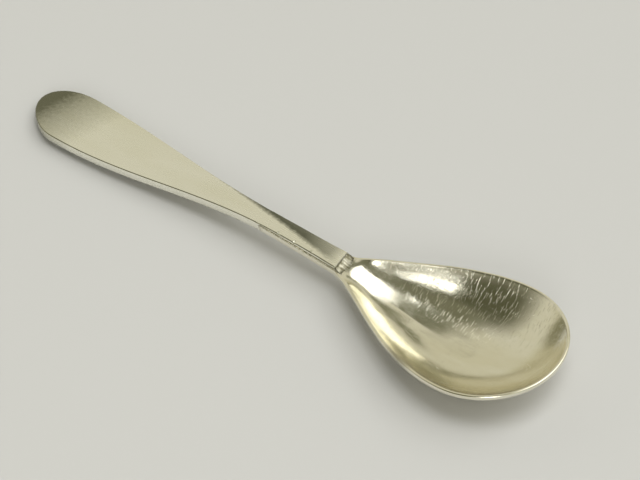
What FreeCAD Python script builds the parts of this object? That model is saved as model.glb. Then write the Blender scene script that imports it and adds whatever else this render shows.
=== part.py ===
import FreeCAD, Part
import math
import os

# A small silver spoon made of two wrought pieces. The handle is a flat bar that lies over a tongue
# on the bowl piece and is soldered down. All sizes in millimetres.
# Frame: +X runs from the tip of the handle to the tip of the bowl, +Z up, Z = 0 is the table.
# The origin is under the middle of the spoon's length.

V = FreeCAD.Vector

# ---- overall sizes ----
handle_length = 60.8      # tip of the handle to its square-cut end
bowl_length = 37.2        # square-cut end of the handle to the tip of the bowl
bowl_width = 23.5         # over the rim, at its widest
handle_end_width = 10.5   # rounded end of the handle
handle_end_round = 7.9    # length over which the end is rounded

# ---- handle bar ----
stem_width = 3.44         # narrowest, just before the lap
stem_end_width = 3.7      # at the square-cut end
handle_thickness = 1.5
end_drop = 1.1            # how far the tip of the handle is turned down
end_drop_length = 8.5     # length over which it is turned down
arch_height = 2.45        # rise of the stem over the wide end
end_slant = 0.45          # lean of the rounded end: its +Y side is fuller
end_cut_skew = 7.0        # degrees the hand-cut end is out of square
top_bevel = 0.22          # bevel round the top face
under_bevel = 0.3         # bevel round the underside

# ---- lap joint ----
lap_length = 14.2         # tongue of the bowl piece under the stem
lap_leaf = 0.5            # what is left of the stem over the tongue, at its thickest
solder_film = 0.08
solder_fillet = 0.42      # height of the fillet at the square-cut end
solder_run = 0.95         # how far the fillet runs out over the neck
tongue_margin = 0.1       # the tongue stands out past the stem's sides
tongue_extra = 0.12       # the tongue hangs below the bar it is let into

# ---- bowl ----
wall = 0.85
rim_land = 0.45           # width of the flat on top of the rim
rim_edge = 0.5            # height of the upright edge of the rim
rim_rise = 3.0            # rise of the rim from the neck to the tip of the bowl
rim_dip = 0.2             # rim at its lowest, under the top of the stem
worn_flat = 0.14          # flat worn under the bowl, as a share of the bowl's plan
bowl_fullness = 2.4       # power of the cross-section: 2 is a parabola, more is boxier
neck_gap = 1.5            # solid neck between the handle's end and the hollow
neck_flat = 1.35          # flat neck past the handle's end, for the solder to lie on
neck_ramp = 6.0           # length over which the rim climbs from the tongue to its own height
neck_sink = 0.08          # rim starts this far under the tongue's flat top
drop_length = 11.5        # tapered drop that backs the neck under the bowl
drop_end_width = 1.8

# ---- stations that follow from the sizes ----
total_length = handle_length + bowl_length
x_tip = -total_length / 2.0
x_seam = x_tip + handle_length
x_lap = x_seam - lap_length
x_bowl_tip = x_seam + bowl_length
x_taper = x_tip + handle_end_round
x_stem = x_seam - 0.9 * lap_length
z_wide = handle_thickness + end_drop
z_stem = z_wide + arch_height
z_lap = z_stem - lap_leaf
z_tongue = z_lap - solder_film
tip_round = 0.32 * bowl_length
x_widest = x_bowl_tip - tip_round
x_centre = x_bowl_tip - 0.42 * bowl_length


def ease(u):
    """Smooth step from 0 to 1."""
    u = min(max(u, 0.0), 1.0)
    return 0.5 - 0.5 * math.cos(math.pi * u)


def handle_top(x):
    """Height of the handle's top face."""
    z = z_wide + arch_height * ease((x - x_tip - 8.0) / (x_seam - 6.8 - x_tip - 8.0))
    tip = min(max((x_tip + end_drop_length - x) / end_drop_length, 0.0), 1.0)
    return z - end_drop * tip ** 2


def handle_half_width(x):
    """Half the width of the handle, past its rounded end."""
    fall = 1.0 - ease((x - x_taper) / (x_stem - x_taper))
    flare = min(max((x - x_stem) / (x_seam - x_stem), 0.0), 1.0)
    w = stem_width + (handle_end_width - stem_width) * fall
    return 0.5 * (w + (stem_end_width - stem_width) * flare ** 2)


def curve(points):
    c = Part.BSplineCurve()
    c.interpolate(points)
    return c.toShape()


def slab(edges, direction):
    """Solid from a flat closed outline, pushed along a direction."""
    return Part.Face(Part.Wire(edges)).extrude(direction)


def xz(x, z):
    return V(x, -30.0, z)


def spread(a, b, count):
    return [a + (b - a) * i / (count - 1.0) for i in range(count)]


# ---- handle ----
def handle_bar():
    """The whole bar, before it is let into the tongue."""
    stations = spread(x_taper, x_seam + 1.0, 13)
    near = [V(x, -handle_half_width(x), -5.0) for x in stations]
    far = [V(x, handle_half_width(x), -5.0) for x in reversed(stations)]
    half = 0.5 * handle_end_width
    turns = spread(0.0, math.pi, 13)
    reach = [math.sin(t) * (handle_end_round + end_slant * half * math.cos(t)) for t in turns]
    stretch = handle_end_round / max(reach)
    end = [V(x_taper - stretch * r, half * math.cos(t), -5.0) for r, t in zip(reach, turns)]
    plan = [curve(near), Part.makeLine(near[-1], far[0]), curve(far), curve(end)]
    plan = slab(Part.__sortEdges__(plan), V(0, 0, 20))
    stations = spread(x_tip, x_seam + 1.0, 20)
    top = [xz(x, handle_top(x)) for x in stations]
    low = [xz(x, handle_top(x) - handle_thickness) for x in reversed(stations)]
    side = [curve(top), Part.makeLine(top[-1], low[0]), curve(low), Part.makeLine(low[-1], top[0])]
    side = slab(side, V(0, 60, 0))
    return plan.common(side)


def square_end(x):
    """Block past the hand-cut end: everything from this plane on."""
    block = Part.makeBox(80, 60, 40, V(0, -30, -10))
    block.rotate(V(0, 0, 0), V(0, 0, 1), end_cut_skew)
    block.translate(V(x, 0, 0))
    return block


def bevelled(bar):
    """Bevel the long arrises of the top and of the underside."""
    def arrises(shape, upper):
        found = []
        for e in shape.Edges:
            m = e.valueAt(0.5 * (e.FirstParameter + e.LastParameter))
            mid = handle_top(m.x) - 0.5 * handle_thickness
            flat = abs(e.Vertexes[0].Point.z - e.Vertexes[-1].Point.z) < 0.8 * handle_thickness
            flat = flat or abs(e.Vertexes[0].Point.x - e.Vertexes[-1].Point.x) > 2.0
            if flat and (m.z > mid) == upper:
                found.append(e)
        return found
    bar = bar.makeFillet(top_bevel, arrises(bar, True))
    return bar.makeFillet(under_bevel, arrises(bar, False))


def make_handle():
    bar = bevelled(handle_bar().cut(square_end(x_seam)))
    notch = Part.makeBox(lap_length + 5.0, 20, z_lap, V(x_lap, -10, 0))
    return bar.cut(notch)


# ---- bowl ----
def rim_half_width(x):
    """Half the bowl's width at the rim: a flared neck, then a round tip."""
    half = 0.5 * bowl_width
    if x > x_widest:
        return half * math.sqrt(max(1.0 - ((x - x_widest) / tip_round) ** 2, 0.0))
    u = max((x - x_seam) / (x_widest - x_seam), 0.0)
    neck = 0.5 * stem_end_width + tongue_margin
    return neck + (half - neck) * math.sin(0.5 * math.pi * u) ** 1.2


def rim_top(x):
    """Height of the rim, which starts just under the flat top of the tongue."""
    low = z_stem - rim_dip
    u = min(max((x - x_seam - neck_ramp) / (bowl_length - neck_ramp), 0.0), 1.0)
    start = min(max((x_seam + neck_ramp - x) / (neck_ramp - neck_flat), 0.0), 1.0)
    return low + rim_rise * u ** 1.5 - (low - z_tongue + neck_sink) * start ** 2


def outline(inset, x_neck):
    """Points round the rim in plan, from the tip of the bowl along the far side to the neck."""
    shares = [0.03, 0.1, 0.21, 0.34, 0.5, 0.66, 0.79, 0.9]
    span = x_bowl_tip - inset - x_neck
    far = [V(x_bowl_tip - inset, 0, 0)]
    for share in shares:
        x = x_bowl_tip - inset - span * share
        room = min(1.0, (x - x_neck) / 4.0)
        outer = x_bowl_tip - (x_bowl_tip - x_neck) * share
        far.append(V(x, (rim_half_width(min(x + inset * (1 - 2 * share), x_bowl_tip)) - inset) * room ** 0.5, 0))
    far.append(V(x_neck, 0, 0))
    near = [V(p.x, -p.y, 0) for p in reversed(far[1:-1])]
    return far + near


def ring(rim, share, x_low, lift, z_floor):
    """One closed contour of the bowl: the rim drawn in towards an ellipse round the lowest point."""
    depth_share = share ** bowl_fullness
    half = 0.5 * bowl_width
    points = []
    for p in rim:
        out = V(p.x - x_low, p.y, 0)
        turn = math.atan2(out.y, out.x)
        long_half = 1.45 * half
        oval = long_half * half / math.hypot(half * math.cos(turn), long_half * math.sin(turn))
        reach = share * (out.Length * depth_share ** 0.5 + oval * (1.0 - depth_share ** 0.5))
        z = z_floor + (rim_top(p.x) - lift - z_floor) * depth_share
        if share <= worn_flat:
            z = z_floor
        points.append(V(x_low + reach * math.cos(turn), reach * math.sin(turn), z))
    c = Part.BSplineCurve()
    c.interpolate(Points=points, PeriodicFlag=True, Parameters=spread(0.0, 1.0, len(points) + 1))
    return Part.Wire([c.toShape()])


def at_height(rim, height):
    points = [V(p.x, p.y, height(p.x)) for p in rim]
    c = Part.BSplineCurve()
    c.interpolate(Points=points, PeriodicFlag=True, Parameters=spread(0.0, 1.0, len(points) + 1))
    return Part.Wire([c.toShape()])


def joined(pieces):
    """Closed solid from faces that share their edges."""
    faces = []
    for piece in pieces:
        faces.extend(piece.Faces)
    shell = Part.makeShell(faces)
    shell.sewShape(0.002)
    solid = Part.makeSolid(shell)
    if solid.Volume < 0:
        solid.reverse()
    return solid


levels = [1.0, 0.93, 0.82, 0.66, 0.46, 0.28, worn_flat]


def bowl_shell():
    outer = outline(0.0, x_seam - 0.8)
    inner = outline(rim_land, x_seam + neck_gap)
    hull = [ring(outer, g, x_centre, rim_edge, 0.0) for g in levels]
    hollow = [ring(inner, g, x_centre, 0.0, wall) for g in levels]
    rim_outer = at_height(outer, rim_top)
    return joined([
        Part.makeLoft(hull, False, False),
        Part.Face(hull[-1]),
        Part.makeLoft([rim_outer, hull[0]], False, True),
        Part.makeLoft([rim_outer, hollow[0]], False, True),
        Part.makeLoft(hollow, False, False),
        Part.Face(hollow[-1]),
    ])


def tongue_and_drop():
    """Tongue under the stem, and the tapered drop that carries it on under the bowl.

    Past the neck its upper side stays buried in the bowl's wall.
    """
    half = 0.5 * stem_end_width + tongue_margin
    tip = 0.5 * drop_end_width
    x_start = x_lap + solder_film
    x_end = x_seam + drop_length
    stations = spread(x_start, x_seam + 1.0, 5)
    sides = [(x, min(handle_half_width(x) + tongue_margin, half)) for x in stations]
    sides = sides + [(x_end - 0.35 * drop_length, 0.5 * (half + tip)), (x_end, tip)]
    far = [V(x, y, -5.0) for x, y in sides]
    near = [V(x, -y, -5.0) for x, y in reversed(sides)]
    nose = Part.Arc(far[-1], V(x_end + tip, 0, -5.0), near[0]).toShape()
    plan = [curve(far), nose, curve(near), Part.makeLine(near[-1], far[0])]
    plan = slab(plan, V(0, 0, 20))
    under = [xz(x, handle_top(x) - handle_thickness - tongue_extra) for x in spread(x_start, x_seam, 5)]
    under = under + [xz(x_seam + 0.45 * drop_length, 2.35), xz(x_end + tip, 0.8)]
    buried = [xz(x_end + tip, wall + 0.1), xz(x_seam + 2.0 * neck_gap, z_tongue - 1.07)]
    flat = [xz(x_seam + neck_flat, z_tongue), xz(x_start, z_tongue)]
    corners = [under[-1]] + buried + flat + [under[0]]
    side = [curve(under)] + [Part.makeLine(a, b) for a, b in zip(corners, corners[1:])]
    return plan.common(slab(side, V(0, 60, 0)))


def make_bowl():
    return bowl_shell().fuse(tongue_and_drop())


# ---- solder ----
def make_solder():
    """Film between the lapped faces, and the fillet run along the square-cut end."""
    wide = handle_bar().common(Part.makeBox(lap_length, 20, z_lap, V(x_lap, -10, 0)))
    under = Part.makeBox(lap_length, 20, z_tongue, V(x_lap + solder_film, -10, 0))
    film = wide.cut(under).cut(square_end(x_seam))
    half = 0.5 * stem_end_width
    foot = V(0, -half, z_tongue)
    leg = V(solder_run, -half, z_tongue)
    head = V(0, -half, min(z_tongue + solder_fillet, z_stem))
    corner = V(0.42 * solder_run, -half, z_tongue + 0.42 * solder_fillet)
    face = Part.Arc(head, corner, leg).toShape()
    fillet = slab([Part.makeLine(foot, head), face, Part.makeLine(leg, foot)], V(0, 2.0 * half, 0))
    fillet.rotate(V(0, 0, 0), V(0, 0, 1), end_cut_skew)
    fillet.translate(V(x_seam, 0, 0))
    return film.fuse(fillet)


handle = make_handle()
bowl = make_bowl()
solder = make_solder()
os.makedirs("parts", exist_ok=True)
for name, piece in (("handle", handle), ("bowl", bowl), ("solder_joint", solder)):
    box = piece.BoundBox
    print(name, piece.isValid(), len(piece.Solids), round(piece.Volume, 2), box)
    piece.exportStep("parts/" + name + ".step")
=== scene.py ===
import math

import bpy
import numpy as np
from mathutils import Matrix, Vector


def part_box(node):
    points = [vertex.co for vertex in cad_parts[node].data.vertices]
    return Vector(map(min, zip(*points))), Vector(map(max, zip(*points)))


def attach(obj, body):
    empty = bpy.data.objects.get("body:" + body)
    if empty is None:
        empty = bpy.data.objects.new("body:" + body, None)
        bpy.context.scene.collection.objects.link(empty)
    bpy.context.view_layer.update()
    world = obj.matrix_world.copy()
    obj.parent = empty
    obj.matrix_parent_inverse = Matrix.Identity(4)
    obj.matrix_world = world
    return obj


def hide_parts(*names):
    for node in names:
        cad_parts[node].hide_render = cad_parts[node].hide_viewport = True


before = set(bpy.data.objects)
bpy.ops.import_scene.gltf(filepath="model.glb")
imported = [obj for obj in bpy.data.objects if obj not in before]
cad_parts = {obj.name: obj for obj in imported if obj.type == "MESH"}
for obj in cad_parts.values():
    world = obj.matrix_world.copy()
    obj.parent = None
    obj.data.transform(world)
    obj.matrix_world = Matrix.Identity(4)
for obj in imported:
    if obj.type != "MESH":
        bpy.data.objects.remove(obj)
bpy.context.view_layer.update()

# All sizes are in millimetres and meshes are scaled by MM. +X runs to the tip of the bowl.
MM = 0.001


def tenths(metres):
    """A length of the frame in millimetres, to the tenth that the CAD is drawn to."""
    return round(metres / MM, 1)


# handle and half-lap
STEM_HALF = 1.72             # half the width where the stem is narrowest
STEM_END_HALF = 1.85         # half the width at the square-cut end
THICK = 1.5
END_ROUND = 7.9              # length of the rounded end
END_SLANT = 0.45             # lean of the rounded end: its +Y side is fuller
END_DROP = 1.1               # how far the tip is turned down
END_DROP_LENGTH = 8.5
ARCH = 2.45                  # rise of the stem over the wide end
ARCH_START = 8.0             # from the handle's tip
ARCH_STOP = 6.8              # before the square-cut end
SKEW = math.tan(math.radians(7.0))  # slope of the square-cut end in plan
LEAF = 0.5                   # the handle's thickness over the tongue
FILM = 0.08                  # solder between the lapped faces
MARGIN = 0.1                 # the tongue stands out past the stem's sides
TONGUE_EXTRA = 0.12          # the tongue hangs below the stem

# bowl
WALL = 0.85
RIM_LAND = 0.45              # flat on top of the rim
RIM_EDGE = 0.5               # upright edge of the rim
RIM_RISE = 3.0               # from the neck to the tip of the bowl
RIM_DIP = 0.2                # lowest rim, under the top of the stem
FLAT = 0.14                  # flat worn under the bowl, as a share of its plan
FULL = 2.4                   # power of the cross-section: 2 is a parabola, more is boxier
FLARE = 1.2                  # power of the neck's flare in plan
OVAL = 1.45                  # length over width of the contours near the lowest point
NECK_GAP = 1.5               # solid neck between the handle's end and the hollow
NECK_BACK = 0.8              # the hull starts this far under the handle
NECK_FLAT = 1.35             # flat neck for the solder to lie on
NECK_RAMP = 6.0              # length over which the rim climbs from the tongue
NECK_SINK = 0.08             # the rim starts this far under the tongue's flat top
NECK_OPENING = 4.0           # length over which the contours open out from the neck
DROP = 11.5                  # tapered drop that backs the neck
DROP_END = 0.9               # half its width at the end
DROP_FALL = 2.55             # from its root to its end
LAND_ROUND = 0.16            # blend between the rim's land and the hollow
TROUGH_POWER = 2.2           # the neck's cross-section, flat in the middle
TROUGH_END = 5.0             # past the handle's end, where the trough starts to open
OPENING = 11.0               # length over which it becomes the hollow

# places, from the frame
X_TIP = tenths(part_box("handle")[0].x)
X_SEAM = tenths(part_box("handle")[1].x - STEM_END_HALF * SKEW * MM)
X_LAP = tenths(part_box("bowl")[0].x - FILM * MM)
X_END = tenths(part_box("bowl")[1].x)
END_HALF = 0.5 * tenths(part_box("handle")[1].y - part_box("handle")[0].y)
BOWL_HALF = 0.5 * tenths(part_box("bowl")[1].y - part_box("bowl")[0].y)
LAP = X_SEAM - X_LAP
BOWL_LENGTH = X_END - X_SEAM
X_TAPER = X_TIP + END_ROUND
X_STEM = X_SEAM - 0.9 * LAP
TIP_ROUND = 0.32 * BOWL_LENGTH
X_WIDEST = X_END - TIP_ROUND
X_LOWEST = X_END - 0.42 * BOWL_LENGTH
Z_WIDE = THICK + END_DROP
Z_STEM = Z_WIDE + ARCH
Z_LAP = Z_STEM - LEAF
Z_TONGUE = Z_LAP - FILM
NECK_HALF = STEM_END_HALF + MARGIN


def ease(u):
    """Smooth step from 0 to 1."""
    return 0.5 - 0.5 * np.cos(np.pi * np.clip(u, 0.0, 1.0))


def smooth_min(a, b, k):
    """The lower of two heights, blended where they are within k of each other."""
    h = np.clip(0.5 + 0.5 * (b - a) / k, 0.0, 1.0)
    return b + (a - b) * h - k * h * (1.0 - h)


def wobble(x, y, seed, size, step):
    """Slow unevenness left by hammer and file: waves about a step long, at seeded angles."""
    rng = np.random.default_rng(seed)
    total = np.zeros_like(x + y)
    for _ in range(9):
        turn = rng.uniform(0, 2 * np.pi)
        wave = step * rng.uniform(0.6, 1.8)
        along = x * np.cos(turn) + y * np.sin(turn)
        total = total + np.sin(2 * np.pi * along / wave + rng.uniform(0, 6.3))
    return size * total / 3.0


# ---- the spoon's shape in plan, and its heights at any place in plan ----
def handle_top(x):
    z = Z_WIDE + ARCH * ease((x - X_TIP - ARCH_START) / (X_SEAM - ARCH_STOP - X_TIP - ARCH_START))
    tip = np.clip((X_TIP + END_DROP_LENGTH - x) / END_DROP_LENGTH, 0.0, 1.0)
    return z - END_DROP * tip ** 2


def handle_half(x):
    """Half the width of the handle, past its rounded end."""
    fall = 1.0 - ease((x - X_TAPER) / (X_STEM - X_TAPER))
    flare = np.clip((x - X_STEM) / (X_SEAM - X_STEM), 0.0, 1.0)
    return STEM_HALF + (END_HALF - STEM_HALF) * fall + (STEM_END_HALF - STEM_HALF) * flare ** 2


def lap_share(x):
    """How far along the tongue, from 0 at its free end."""
    return np.clip((x - X_LAP) / LAP, 0.0, 1.0)


def bowl_half(x):
    """Half the width of the bowl piece up to its round tip: a tongue, then a flared neck."""
    u = np.clip((x - X_SEAM) / (X_WIDEST - X_SEAM), 0.0, 1.0)
    wide = NECK_HALF + (BOWL_HALF - NECK_HALF) * np.sin(0.5 * np.pi * u) ** FLARE
    tongue = handle_half(np.minimum(x, X_SEAM)) + MARGIN * lap_share(x)
    return np.where(x < X_SEAM, tongue, wide)


def rim_top(x):
    low = Z_STEM - RIM_DIP
    u = np.clip((x - X_SEAM - NECK_RAMP) / (BOWL_LENGTH - NECK_RAMP), 0.0, 1.0)
    start = np.clip((X_SEAM + NECK_RAMP - x) / (NECK_RAMP - NECK_FLAT), 0.0, 1.0)
    return low + RIM_RISE * u ** 1.5 - (low - Z_TONGUE + NECK_SINK) * start ** 2


def polar_rim(inset, x_neck):
    """The rim's distance from the bowl's lowest point, by direction."""
    turn = np.linspace(0.0, 0.5 * np.pi, 300)
    round_x = X_WIDEST + (TIP_ROUND - inset) * np.cos(turn)
    round_y = (BOWL_HALF - inset) * np.sin(turn)
    neck_x = np.linspace(X_WIDEST, x_neck, 500)[1:]
    room = np.clip((neck_x - x_neck) / NECK_OPENING, 0.0, 1.0)
    neck_y = (bowl_half(neck_x) - inset) * room ** 0.5
    x = np.concatenate([round_x, neck_x]) - X_LOWEST
    y = np.concatenate([round_y, neck_y])
    angle = np.arctan2(y, x)
    order = np.argsort(angle)
    return angle[order], np.hypot(x, y)[order]


def bowl_height(x, y, inset, x_neck, lift, floor):
    """Height of a hollow whose contours go from the rim to an oval; each share is found by halving."""
    angle, radius = polar_rim(inset, x_neck)
    turn = np.abs(np.arctan2(y, x - X_LOWEST))
    rim = np.interp(turn, angle, radius)
    reach = np.hypot(x - X_LOWEST, y)
    long_half = OVAL * BOWL_HALF
    oval = long_half * BOWL_HALF / np.hypot(BOWL_HALF * np.cos(turn), long_half * np.sin(turn))
    low, high = np.zeros_like(reach), np.full_like(reach, 1.6)
    for _ in range(34):
        mid = 0.5 * (low + high)
        deep = mid ** (0.5 * FULL)
        over = mid * (rim * deep + oval * (1.0 - deep)) > reach
        high = np.where(over, mid, high)
        low = np.where(over, low, mid)
    share = 0.5 * (low + high)
    top = rim_top(X_LOWEST + rim * np.cos(turn)) - lift
    return floor + (top - floor) * np.maximum(share ** FULL - FLAT ** FULL, 0.0)


def bowl_upper(x, y):
    """A smooth trough at the neck that opens into the hollow; the rim keeps a narrow land."""
    land = rim_top(x)
    hollow = bowl_height(x, y, RIM_LAND, X_SEAM + NECK_GAP, 0.0, WALL)
    hollow = smooth_min(land, hollow, LAND_ROUND)
    bed = bowl_height(x, 0.0 * y, RIM_LAND, X_SEAM + NECK_GAP, 0.0, WALL)
    bed = smooth_min(np.full_like(bed, Z_TONGUE - 0.04), bed, 0.5)
    share = np.clip(np.abs(y) / (bowl_half(x) - RIM_LAND), 0.0, 1.0)
    trough = bed + np.maximum(land - bed, 0.0) * share ** TROUGH_POWER
    trough = np.where(x < X_SEAM + 0.9, np.minimum(trough, Z_TONGUE), trough)
    return trough + (hollow - trough) * ease((x - X_SEAM - TROUGH_END) / OPENING)


def bowl_lower(x, y):
    """The lower of the bowl's hull and the tongue with its drop."""
    hull = bowl_height(x, y, 0.0, X_SEAM - NECK_BACK, RIM_EDGE, 0.0)
    hull = np.where(x < X_SEAM - 0.5, Z_TONGUE - 0.3, hull)
    at_seam = handle_top(np.minimum(x, X_SEAM)) - THICK - TONGUE_EXTRA * lap_share(x)
    u = np.clip((x - X_SEAM) / (DROP + DROP_END), 0.0, 1.0)
    under = at_seam - DROP_FALL * u ** 1.15
    taper = np.clip((x - X_SEAM) / DROP, 0.0, 1.0)
    half = np.where(x < X_SEAM, 9.0, NECK_HALF + (DROP_END - NECK_HALF) * taper)
    past = np.maximum(x - (X_SEAM + DROP), 0.0)
    edge = np.hypot(np.maximum(np.abs(y) - half + 0.25, 0.0), past * 1.2)
    return smooth_min(hull, under + 0.9 * edge ** 2, 0.35)


# ---- meshes ----
def mesh_object(name, verts, faces):
    """Smooth-shaded object; a face that names a corner twice becomes a triangle."""
    mesh = bpy.data.meshes.new(name)
    polygons = [list(dict.fromkeys(face)) for face in faces.tolist()]
    mesh.from_pydata((verts * MM).tolist(), [], polygons)
    mesh.validate()
    mesh.shade_smooth()
    return linked(bpy.data.objects.new(name, mesh))


def linked(obj):
    bpy.context.scene.collection.objects.link(obj)
    return obj


def crowded(count, dense=0.85):
    """Numbers from -1 to 1 that crowd towards both ends."""
    u = np.linspace(-1.0, 1.0, count)
    return (1.0 - dense) * u + dense * np.sin(0.5 * np.pi * u)


def crowded_end(count, dense=0.85):
    """Numbers from above 0 to 1 that crowd towards 1."""
    u = np.linspace(0.0, 1.0, count)[1:]
    return (1.0 - dense) * u + dense * np.sin(0.5 * np.pi * u)


def round_end(centre, reach, half, sign, along, across):
    """Plan grid over half an ellipse: squares pulled to the curve, with no pole."""
    a, b = np.meshgrid(along, across, indexing="ij")
    x = centre + sign * reach * a * np.sqrt(1.0 - 0.5 * b ** 2)
    y = half * b * np.sqrt(1.0 - 0.5 * a ** 2)
    return x, y


def grid_faces(rows, cols):
    """The quads of a grid of points, and the loop of points round its edge."""
    index = np.arange(rows * cols).reshape(rows, cols)
    quads = np.stack([index[:-1, :-1], index[1:, :-1], index[1:, 1:], index[:-1, 1:]], -1).reshape(-1, 4)
    loop = np.concatenate([index[:, 0], index[-1, 1:], index[-2::-1, -1], index[0, -2:0:-1]])
    return quads, loop


def outward(x, y):
    """Unit normals of a closed plan loop, pointing out."""
    tx = np.roll(x, -1) - np.roll(x, 1)
    ty = np.roll(y, -1) - np.roll(y, 1)
    size = np.hypot(tx, ty)
    nx, ny = ty / size, -tx / size
    if np.sum(x * np.roll(y, -1) - np.roll(x, -1) * y) < 0:
        nx, ny = -nx, -ny
    return nx, ny


def edge_profile(top, low, r_top, r_low, bulge, steps=5):
    """How far out and how high each ring of the edge is, from the top arris to the lower one."""
    fit_top, fit_low = np.minimum(r_top, 0.45 * (top - low)), np.minimum(r_low, 0.45 * (top - low))
    side_top, side_low = top - fit_top, low + fit_low
    profile = []
    for i in range(1, steps + 1):
        a = 0.5 * math.pi * i / steps
        profile.append((r_top * math.sin(a), top - fit_top * (1 - math.cos(a))))
    for u in (0.25, 0.5, 0.75):
        profile.append((r_top + bulge * math.sin(math.pi * u), side_top + (side_low - side_top) * u))
    for i in range(steps):
        a = 0.5 * math.pi * (1 - i / steps)
        profile.append((r_top - r_low + r_low * math.sin(a), low + fit_low * (1 - math.cos(a))))
    return profile


def slab_mesh(name, gx, gy, upper, lower, r_top, r_low, bulge=0.0):
    """Closed skin over a plan grid: a top, an underside, and an edge rounded at both arrises."""
    z_top, z_low = upper(gx, gy), lower(gx, gy)
    quads, loop = grid_faces(*gx.shape)
    verts = [np.stack([gx, gy, z], -1).reshape(-1, 3) for z in (z_top, z_low)]
    lx, ly = gx.reshape(-1)[loop], gy.reshape(-1)[loop]
    nx, ny = outward(lx, ly)
    rings = [loop]
    base = 2 * gx.size
    for out, z in edge_profile(z_top.reshape(-1)[loop], z_low.reshape(-1)[loop], r_top, r_low, bulge):
        verts.append(np.stack([lx + nx * out, ly + ny * out, z], -1))
        rings.append(base + np.arange(len(loop)))
        base += len(loop)
    rings.append(loop + gx.size)
    faces = [quads, quads[:, ::-1] + gx.size]
    for a, b in zip(rings[:-1], rings[1:]):
        faces.append(np.stack([a, b, np.roll(b, -1), np.roll(a, -1)], -1))
    return mesh_object(name, np.concatenate(verts), np.concatenate(faces))


# ---- bowl ----
def bowl_grid(inset):
    """Plan grid of the bowl piece, from the tongue's free end to the bowl's round tip.

    Its rows lie closest along the neck, where the surface bends most.
    """
    across = crowded(131)
    near_lap = np.linspace(X_LAP + FILM + inset, X_SEAM - 0.3, 46)
    neck = np.linspace(X_SEAM - 0.3, X_SEAM + 8.0, 84)[1:]
    body = np.linspace(X_SEAM + 8.0, X_WIDEST, 70)[1:]
    x = np.concatenate([near_lap, neck, body])
    gx = np.repeat(x[:, None], len(across), 1)
    gy = (bowl_half(x) - inset)[:, None] * across[None, :]
    ex, ey = round_end(X_WIDEST, TIP_ROUND - inset, BOWL_HALF - inset, 1.0, crowded_end(62), across)
    return np.concatenate([gx, ex]), np.concatenate([gy, ey])


def make_bowl():
    def past_neck(x):
        return np.clip((x - X_SEAM - 1.0) / 3.0, 0.0, 1.0)

    def upper(x, y):
        uneven = wobble(x, y, 3, 0.012, 9.0) + wobble(x, y, 4, 0.003, 2.6)
        return bowl_upper(x, y) + past_neck(x) * uneven

    def lower(x, y):
        return bowl_lower(x, y) + wobble(x, y, 5, 0.012, 9.0) * past_neck(x)

    arris = 0.22
    return slab_mesh("spoon_bowl", *bowl_grid(arris), upper, lower, arris, 0.2)


# ---- handle ----
NICKS = ((-2.7, 0.06), (1.25, 0.12), (4.25, 0.14), (7.4, 0.07))  # place along X and depth
CROWN = 0.05                 # the stem's top face is higher in the middle
TWIST = 0.1                  # slope of the stem's top face, down towards +Y


def handle_grid(inset):
    """Plan grid of the handle, from its leaning round end to its square-cut end."""
    across = crowded(71)
    ex, ey = round_end(X_TAPER, END_ROUND - inset, END_HALF - inset, -1.0, crowded_end(50)[::-1], across)
    lean = (X_TAPER - ex) * (1.0 + END_SLANT * ey / END_ROUND)
    ex = X_TAPER - lean * (END_ROUND - inset) / np.max(lean)
    bar = np.linspace(X_TAPER, X_LAP - 0.01, 120)
    leaf = np.linspace(X_LAP + 0.01, X_SEAM - inset, 170)
    x = np.concatenate([bar, leaf])
    gx = np.repeat(x[:, None], len(across), 1)
    gy = (handle_half(x) - inset)[:, None] * across[None, :]
    gx, gy = np.concatenate([ex, gx]), np.concatenate([ey, gy])
    return gx - gy * SKEW * np.clip((gx - X_SEAM + 6.0) / 6.0, 0.0, 1.0), gy


def make_handle():
    def upper(x, y):
        half = np.maximum(handle_half(x), 1.0)
        crown = CROWN * ease((x - X_TIP - 30.0) / 20.0)
        twist = TWIST * ease((x - X_TIP - 38.0) / 18.0) * (1.0 - 0.5 * ease((x - X_SEAM + 4.0) / 4.0))
        z = handle_top(x) - crown * (y / half) ** 2 - twist * y
        for place, depth in NICKS:
            away = ((x - place) / 0.22) ** 2 + ((y + half) / 0.45) ** 2
            z = z - depth * np.exp(-away)
        return z + wobble(x, y, 11, 0.006, 14.0) + wobble(x, y, 12, 0.0015, 3.0)

    def lower(x, y):
        z = handle_top(x) - THICK + wobble(x, y, 13, 0.01, 10.0)
        return np.where(x > X_LAP, Z_LAP, z)

    arris = 0.2
    return slab_mesh("spoon_handle", *handle_grid(arris), upper, lower, arris, 0.3, bulge=0.03)


# ---- solder ----
FILLET_RUN = 1.25            # from the square-cut end out over the neck
BEAD = 0.085                 # radius of the bead along each side of the lap


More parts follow.
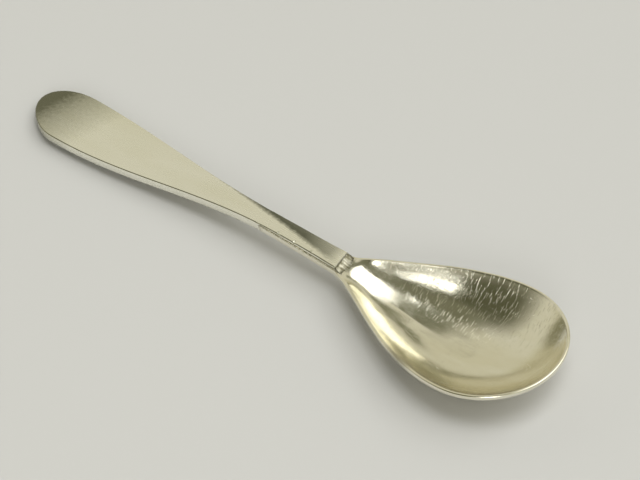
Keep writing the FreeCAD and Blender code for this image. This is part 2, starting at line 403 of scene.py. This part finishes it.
def fillet_skin(rng):
    """Fillet filed down along the square-cut end, with file marks across it."""
    count, across = 26, 61
    y = np.linspace(-STEM_END_HALF - 0.02, STEM_END_HALF + 0.02, across)
    run = FILLET_RUN + 0.15 * np.sin(1.7 * y + 0.6) + 0.05 * rng.standard_normal(across)
    marks = np.convolve(rng.standard_normal(across + 4), np.ones(2) / 2, "same")[2:-2]
    gu, gy = np.meshgrid(np.linspace(0.0, 1.0, count), y, indexing="ij")
    gx = X_SEAM - gy * SKEW - 0.04 + gu * run[None, :]
    foot = bowl_upper(gx, gy)
    top = float(handle_top(np.array(X_SEAM))) - 0.2
    ends = 1.0 - np.clip((np.abs(gy) - STEM_END_HALF + 0.35) / 0.35, 0.0, 1.0) ** 2
    gz = foot + (top - foot) * (1.0 - gu) ** 2 * (0.35 + 0.65 * ends) + 0.004
    gz = gz + 0.02 * marks[None, :] * np.sin(np.pi * gu) ** 2
    low = np.minimum(foot - 0.06, Z_TONGUE - 0.05)
    quads, loop = grid_faces(count, across)
    verts = [np.stack([gx, gy, z], -1).reshape(-1, 3) for z in (gz, low)]
    under = gz.size
    side = np.stack([loop, loop + under, np.roll(loop, -1) + under, np.roll(loop, -1)], -1)
    return np.concatenate(verts), np.concatenate([quads, quads[:, ::-1] + under, side])


def side_bead(sign, rng):
    """Uneven bead squeezed out along one side, which climbs the lap's end and follows its seam."""
    rise, run, around = 30, 520, 10
    stations = rise + run
    z_start = float(handle_top(np.array(X_LAP))) - THICK + 0.22
    x = np.concatenate([np.full(rise, X_LAP + 0.1), np.linspace(X_LAP + 0.1, X_SEAM + 0.35, run)])
    z = np.concatenate([np.linspace(z_start, Z_TONGUE, rise + 1)[:-1], np.full(run, Z_TONGUE + 0.03)])
    rough = np.convolve(rng.standard_normal(stations + 8), np.ones(4) / 4, "same")[4:-4]
    radius = np.clip(BEAD + 0.07 * rough, 0.02, 0.19)
    radius[:rise] = 0.13
    y = sign * handle_half(np.minimum(x, X_SEAM))
    y[:rise] -= sign * 0.1
    way_x, way_z = np.gradient(x), np.gradient(z)
    size = np.hypot(way_x, way_z)
    turn = np.linspace(0.0, 2 * np.pi, around, endpoint=False)
    vx = x[:, None] - (way_z / size * radius)[:, None] * np.sin(turn)[None, :]
    vy = y[:, None] + radius[:, None] * np.cos(turn)[None, :]
    vz = z[:, None] + (way_x / size * radius)[:, None] * np.sin(turn)[None, :]
    tube = np.stack([vx, vy, vz], -1).reshape(-1, 3)
    caps = np.array([[x[0], y[0], z[0]], [x[-1], y[-1], z[-1]]])
    ring = np.arange(stations * around).reshape(stations, around)
    back = np.roll(ring, -1, 1)
    faces = [np.stack([ring[:-1], ring[1:], back[1:], back[:-1]], -1).reshape(-1, 4)]
    for row, middle, order in ((ring[0], ring.size, 1), (ring[-1], ring.size + 1, -1)):
        middle = np.full(around, middle)
        faces.append(np.stack([row, np.roll(row, -1), middle, middle], -1)[:, ::order])
    return np.concatenate([tube, caps]), np.concatenate(faces)


def make_solder():
    rng = np.random.default_rng(21)
    verts, faces, base = [], [], 0
    for part_verts, part_faces in (fillet_skin(rng), side_bead(-1.0, rng), side_bead(1.0, rng)):
        verts.append(part_verts)
        faces.append(part_faces + base)
        base += len(part_verts)
    return mesh_object("spoon_solder", np.concatenate(verts), np.concatenate(faces))


# ---- shader nodes ----
class Nodes:
    """Short calls that add the nodes of one material or world."""

    def __init__(self, tree):
        self.tree = tree
        self.coord = self.add("ShaderNodeTexCoord").outputs

    def add(self, kind):
        return self.tree.nodes.new(kind)

    def put(self, value, socket):
        """Give a socket a number, a colour or another node's output."""
        if isinstance(value, tuple):
            socket.default_value = (*value, 1)
        elif isinstance(value, (int, float)):
            socket.default_value = value
        else:
            self.tree.links.new(value, socket)

    def math(self, operation, a, b=0.0):
        node = self.add("ShaderNodeMath")
        node.operation = operation
        self.put(a, node.inputs[0])
        self.put(b, node.inputs[1])
        return node.outputs[0]

    def plus(self, a, b):
        return self.math("ADD", a, b)

    def minus(self, a, b):
        return self.math("SUBTRACT", a, b)

    def times(self, a, b):
        return self.math("MULTIPLY", a, b)

    def mix(self, share, a, b):
        """Colour a, turning to colour b by the share."""
        node = self.add("ShaderNodeMix")
        node.data_type = "RGBA"
        self.put(share, node.inputs[0])
        self.put(a, node.inputs[6])
        self.put(b, node.inputs[7])
        return node.outputs[2]

    def ramp(self, value, *stops):
        """A value turned into another through (place, value) stops."""
        node = self.add("ShaderNodeValToRGB")
        elements = node.color_ramp.elements
        while len(elements) < len(stops):
            elements.new(0.5)
        for element, (place, level) in zip(elements, stops):
            element.position = place
            element.color = (level, level, level, 1)
        self.put(value, node.inputs[0])
        return node.outputs[0]

    def split(self, name):
        """X, Y and Z of one of the texture coordinates."""
        node = self.add("ShaderNodeSeparateXYZ")
        self.put(self.coord[name], node.inputs[0])
        return node.outputs[0], node.outputs[1], node.outputs[2]

    def noise(self, scale, detail, stretch=(1, 1, 1), turn=0.0, distortion=0.0):
        """Noise over the piece, scale per metre, drawn out by a small stretch along an axis."""
        mapping = self.add("ShaderNodeMapping")
        mapping.inputs["Scale"].default_value = stretch
        mapping.inputs["Rotation"].default_value = (0, 0, turn)
        self.put(self.coord["Object"], mapping.inputs["Vector"])
        node = self.add("ShaderNodeTexNoise")
        node.inputs["Scale"].default_value = scale
        node.inputs["Detail"].default_value = detail
        node.inputs["Roughness"].default_value = 0.55
        node.inputs["Distortion"].default_value = distortion
        self.put(mapping.outputs[0], node.inputs["Vector"])
        return node.outputs["Fac"]

    def dot(self, way):
        """How much the world's direction points one way."""
        node = self.add("ShaderNodeVectorMath")
        node.operation = "DOT_PRODUCT"
        self.put(self.coord["Generated"], node.inputs[0])
        node.inputs[1].default_value = way
        return node.outputs["Value"]

    def step(self, value, low, high):
        """Smooth step from 0 at low to 1 at high."""
        node = self.add("ShaderNodeMapRange")
        node.interpolation_type = "SMOOTHSTEP"
        self.put(value, node.inputs["Value"])
        self.put(low, node.inputs["From Min"])
        self.put(high, node.inputs["From Max"])
        return node.outputs[0]


# ---- materials ----
BOWL_CLEAN, BOWL_TARNISH = (0.90, 0.875, 0.77), (0.80, 0.76, 0.60)
HANDLE_CLEAN, HANDLE_TARNISH = (0.93, 0.915, 0.82), (0.85, 0.83, 0.69)
SOLDER_CLEAN, SOLDER_TARNISH = (0.90, 0.88, 0.80), (0.66, 0.62, 0.46)
OLIVE, BROWN = (0.30, 0.285, 0.17), (0.16, 0.15, 0.08)
BUMP_HEIGHT = 0.00001        # metres for a height of 1 in the bump fields


def fine_scratches(n):
    """Three fields of long thin noise at different angles, worn away in places."""
    fields = []
    for turn, scale in ((0.5, 4200.0), (-0.9, 5600.0), (1.45, 4800.0)):
        line = n.noise(scale, 2.0, stretch=(0.06, 1.0, 1.0), turn=turn)
        fields.append(n.ramp(line, (0.56, 0.0), (0.7, 1.0)))
    lines = n.math("MAXIMUM", n.math("MAXIMUM", fields[0], fields[1]), fields[2])
    return n.times(lines, n.ramp(n.noise(260, 3.0), (0.35, 0.25), (0.7, 1.0)))


def silver(name, clean, tarnish, rough, scratch, grain, stains_and_shade, marks):
    """Worn silver: tarnish in clouds and grain, fine scratches, then each piece's own darker layers and
    marks, some of them painted shade and painted reflection.

    The stain function yields shares and colours; the marks function takes colour and height and gives both
    back with its marks in.
    """
    material = bpy.data.materials.new(name)
    material.use_nodes = True
    material.node_tree.nodes.clear()
    n = Nodes(material.node_tree)
    shader = n.add("ShaderNodeBsdfPrincipled")
    shader.inputs["Metallic"].default_value = 1.0
    n.put(shader.outputs[0], n.add("ShaderNodeOutputMaterial").inputs[0])
    clouds = n.noise(150, 5.0, stretch=(0.3, 1.0, 1.0), distortion=0.3)
    clouds = n.ramp(clouds, (0.30, 0.0), (0.70, 1.0))
    cover = n.math("MAXIMUM", clouds, n.ramp(n.noise(1500, 3.0), (0.3, 0.0), (0.75, grain)))
    colour = n.mix(cover, clean, tarnish)
    # each piece's layers: tarnish, a dark line, and painted shade and painted reflection
    for share, shade in stains_and_shade(n):
        colour = n.mix(share, colour, shade)
    scratches = fine_scratches(n)
    # on the handle the marks include a painted dark reflection along the near arris
    colour, height = marks(n, colour, n.times(scratches, -scratch))
    haze = n.ramp(n.noise(420, 5.0), (0.3, rough), (0.7, rough + 0.08))
    haze = n.plus(haze, n.times(scratches, 0.12))
    bump = n.add("ShaderNodeBump")
    bump.inputs["Strength"].default_value = 1.0
    bump.inputs["Distance"].default_value = BUMP_HEIGHT
    n.put(height, bump.inputs["Height"])
    n.put(colour, shader.inputs["Base Color"])
    n.put(n.plus(haze, n.times(cover, 0.05)), shader.inputs["Roughness"])
    n.put(bump.outputs[0], shader.inputs["Normal"])
    return material


def past_seam(n, x, y, margin):
    """Millimetres past the square-cut end, measured from a margin before it."""
    return n.times(n.plus(n.minus(x, (X_SEAM - margin) * MM), n.times(y, SKEW)), 1000.0)


# tarnish by the neck, the second spot also painted shade over a highlight: millimetres from the handle's tip,
# to the side and across, then share and colour
SPOTS = ((66.0, -3.1, 2.6, 0.55, OLIVE), (77.8, -8.9, 3.6, 0.9, BROWN))


def bowl_tarnish_and_shade(n):
    """Two leaning spots in the steep near side of the neck: tarnish, which a cloth doesn't reach; the second,
    larger and darker, is also painted shade that dims a highlight.
    """
    x, y, _ = n.split("Object")
    for place, side, size, share, shade in SPOTS:
        along = n.minus(n.times(n.minus(x, X_TIP * MM), 1000.0), place)
        across = n.plus(n.minus(n.times(y, 1000.0), side), n.times(along, 0.5))
        squares = n.plus(n.math("POWER", along, 2.0), n.times(n.math("POWER", across, 2.0), 3.0))
        yield n.ramp(n.math("DIVIDE", n.math("SQRT", squares), size), (0.3, share), (1.0, 0.0)), shade


def bowl_marks(n, colour, height):
    """Deeper cuts across the far wall, and clusters of dark pits."""
    cuts = n.noise(9500.0, 0.0, stretch=(1.0, 0.09, 0.09), turn=0.25)
    cuts = n.ramp(cuts, (0.68, 0.0), (0.76, 1.0))
    far_wall = n.ramp(n.times(n.split("Object")[1], 100.0), (0.1, 0.0), (0.4, 1.0))
    height = n.minus(height, n.times(n.times(cuts, far_wall), 0.8))
    pits = n.ramp(n.noise(2600, 2.0), (0.64, 0.0), (0.72, 1.0))
    pits = n.times(pits, n.ramp(n.noise(130, 2.0), (0.42, 0.0), (0.6, 1.0)))
    height = n.minus(height, n.times(pits, 0.4))
    return n.mix(n.times(pits, 0.3), colour, tuple(0.45 * c for c in BOWL_TARNISH)), height


def handle_painted_reflections_and_end_line(n):
    """Painted dark reflection on the turned-down end and on a wedge of the stem's far side, and a dark line
    along the cut end.

    Its lengths are in centimetres, because a ramp's places run from 0 to 1.
    """
    x, y, _ = n.split("Object")
    grain = n.minus(n.noise(1900, 4.0), 0.5)
    # painted dark reflection on the turned-down end, darkest at the tip
    from_tip = n.times(n.minus(x, X_TIP * MM), 100.0)
    end = n.plus(n.minus(from_tip, n.times(y, 27.0)), n.times(grain, 0.35))
    yield n.ramp(n.times(end, 0.6), (0.14, 0.95), (0.34, 0.55), (0.78, 0.0)), (0.14, 0.14, 0.09)
    # painted dark reflection in a wedge of the stem's far side, ending before the cut end
    edge = n.minus(0.2, n.times(n.minus(from_tip, 3.7), 0.152))
    over = n.plus(n.minus(n.times(y, 100.0), edge), n.times(grain, 0.07))
    wedge = n.ramp(over, (0.0, 0.0), (0.03, 0.45), (0.08, 0.92), (0.24, 0.8), (0.34, 0.6))
    before_end = n.ramp(n.minus(6.15, from_tip), (0.12, 0.0), (0.3, 0.6), (0.8, 1.0))
    yield n.times(wedge, before_end), (0.09, 0.095, 0.06)
    yield n.ramp(past_seam(n, x, y, 0.5), (0.28, 0.0), (0.36, 0.8)), (0.12, 0.115, 0.08)


def handle_arris_reflection(n, colour, height):
    """Painted dark reflection along the rounded near arris, placed by the way that it faces."""
    _, across, up = n.split("Normal")
    near = n.ramp(n.times(across, -1.0), (0.22, 0.0), (0.4, 0.8), (0.75, 0.8), (0.9, 0.0))
    near = n.times(near, n.ramp(up, (0.3, 0.0), (0.5, 1.0)))
    # colour of the painted dark reflection, mixed in where the arris faces near and up
    return n.mix(near, colour, (0.2, 0.195, 0.12)), height


def solder_stains_and_shade(n):
    """The filed fillet at the square-cut end is duller than the bright beads along the sides, and is darkened
    further as painted shade that dims its highlight.
    """
    x, y, _ = n.split("Object")
    streaks = n.noise(2500, 2.0, stretch=(0.12, 1.0, 1.0))
    fillet = n.ramp(past_seam(n, x, y, 0.3), (0.1, 0.0), (0.3, 1.0))
    # streaky dark: dull filed solder, and painted shade over the fillet's highlight
    yield n.times(n.times(fillet, streaks), 1.7), (0.15, 0.14, 0.09)


def solder_marks(n, colour, height):
    """File marks along the spoon."""
    return colour, n.plus(height, n.times(n.noise(1500, 3.0, stretch=(0.03, 1.0, 1.0)), 1.5))


def bowl_silver():
    return silver("silver_bowl", BOWL_CLEAN, BOWL_TARNISH, 0.07, 0.3, 0.3, bowl_tarnish_and_shade, bowl_marks)


def handle_silver():
    return silver("silver_handle", HANDLE_CLEAN, HANDLE_TARNISH, 0.17, 0.4, 0.15, handle_painted_reflections_and_end_line, handle_arris_reflection)


def solder_metal():
    return silver("solder_metal", SOLDER_CLEAN, SOLDER_TARNISH, 0.22, 0.5, 0.3, solder_stains_and_shade, solder_marks)


def place_piece(piece, material, node):
    """The spoon is one body; each piece stands for one node of the CAD."""
    piece.data.materials.append(material)
    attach(piece, "root")
    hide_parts(node)


place_piece(make_bowl(), bowl_silver(), "bowl")
place_piece(make_handle(), handle_silver(), "handle")
place_piece(make_solder(), solder_metal(), "solder_joint")


# ---- floor, light, camera ----
AZIMUTH, ELEVATION = math.radians(37.9), math.radians(47.0)
DISTANCE = 0.330             # metres, as are the lengths below
LOOK_AT = Vector((0.0038, 0.0051, -0.0003))
FLOOR_REACH = 3.0
SENSOR, FOCAL = 36.0, 123.75  # millimetres


def make_floor():
    corners = [(-1, -1, 0), (1, -1, 0), (1, 1, 0), (-1, 1, 0)]
    mesh = bpy.data.meshes.new("floor")
    mesh.from_pydata([FLOOR_REACH * Vector(corner) for corner in corners], [], [(0, 1, 2, 3)])
    material = bpy.data.materials.new("floor")
    material.use_nodes = True
    shader = material.node_tree.nodes["Principled BSDF"].inputs
    shader["Base Color"].default_value = (0.53, 0.53, 0.525, 1)
    shader["Roughness"].default_value = 0.9
    shader["Specular IOR Level"].default_value = 0.1
    mesh.materials.append(material)
    linked(bpy.data.objects.new("floor", mesh))


def make_camera():
    side = Vector((math.sin(AZIMUTH), -math.cos(AZIMUTH), 0)) * math.cos(ELEVATION)
    back = side + Vector((0, 0, math.sin(ELEVATION)))
    data = bpy.data.cameras.new("camera")
    data.sensor_width = SENSOR
    data.lens = FOCAL
    data.clip_start = 0.01
    camera = linked(bpy.data.objects.new("camera", data))
    camera.location = LOOK_AT + back * DISTANCE
    camera.rotation_euler = back.to_track_quat("Z", "Y").to_euler()
    bpy.context.scene.camera = camera


def towards(azimuth, elevation):
    """Direction by azimuth clockwise from the far side of the view, and height over the floor."""
    a, e = math.radians(azimuth) - AZIMUTH, math.radians(elevation)
    return Vector((math.sin(a) * math.cos(e), math.cos(a) * math.cos(e), math.sin(e)))


# The surroundings that the metal mirrors. Angles are in degrees, and colours are radiance.
WALL_CREAM = (0.64, 0.62, 0.51)
LOW_BAND = (0.54, 0.51, 0.36)
# soft dark patches: azimuth, elevation, radius of the dark core, outer radius, colour
PATCHES = (
    (-122, 54, 14, 46, (0.09, 0.09, 0.05)),
    (0, 88, 10, 26, (0.17, 0.17, 0.11)),
    (29, 63, 8, 17, (0.17, 0.17, 0.11)),
    (-52, 2, 8, 16, (0.22, 0.21, 0.13)),
    (31, 33, 4, 9, (0.19, 0.19, 0.12)),
)
# bright upright panes: left and right azimuth, low and high elevation, radiance
PANES = (
    (35.5, 125, 37, 85, 2.4),
    (-162, -150, 49, 65, 5.0),
    (-162, -151, 37, 49, 1.1),
)


def sine(degrees):
    return math.sin(math.radians(degrees))


def pane(n, left, right, low, high):
    """Upright pane with soft edges."""
    up, down = n.dot(Vector((0, 0, 1))), n.dot(Vector((0, 0, -1)))
    sides = n.times(
        n.step(n.dot(towards(left + 90, 0)), 0.0, 0.03),
        n.step(n.dot(towards(right - 90, 0)), 0.0, 0.03),
    )
    over = n.step(up, sine(low - 2), sine(low + 2))
    return n.times(n.times(sides, over), n.step(down, -sine(high), -sine(high - 4)))


def make_room():
    world = bpy.data.worlds.new("world")
    bpy.context.scene.world = world
    world.use_nodes = True
    n = Nodes(world.node_tree)
    low = n.step(n.dot(Vector((0, 0, -1))), -sine(22), -sine(6))
    colour = n.mix(low, WALL_CREAM, LOW_BAND)
    for azimuth, elevation, core, reach, shade in PATCHES:
        near = n.dot(towards(azimuth, elevation))
        dark = n.step(near, math.cos(math.radians(reach)), math.cos(math.radians(core)))
        colour = n.mix(dark, colour, shade)
    for left, right, low, high, glow in PANES:
        colour = n.mix(pane(n, left, right, low, high), colour, (glow, glow, 0.96 * glow))
    background = world.node_tree.nodes["Background"].inputs
    n.put(colour, background["Color"])
    n.put(1.0, background["Strength"])


def soft_box(name, azimuth, elevation, size, radiance, mirrored):
    """Square soft box a metre away, facing the spoon, as bright as its radiance."""
    way = towards(azimuth, elevation)
    data = bpy.data.lights.new(name, "AREA")
    data.size = size
    data.energy = radiance * math.pi * size ** 2
    lamp = linked(bpy.data.objects.new(name, data))
    lamp.location = way
    lamp.rotation_euler = way.to_track_quat("Z", "Y").to_euler()
    lamp.visible_glossy = mirrored


make_floor()
make_camera()
make_room()
soft_box("main", 150, 80, 0.45, 6.0, False)
soft_box("fill", 181, 30, 0.3, 6.0, True)
bpy.context.scene.view_settings.view_transform = "Standard"
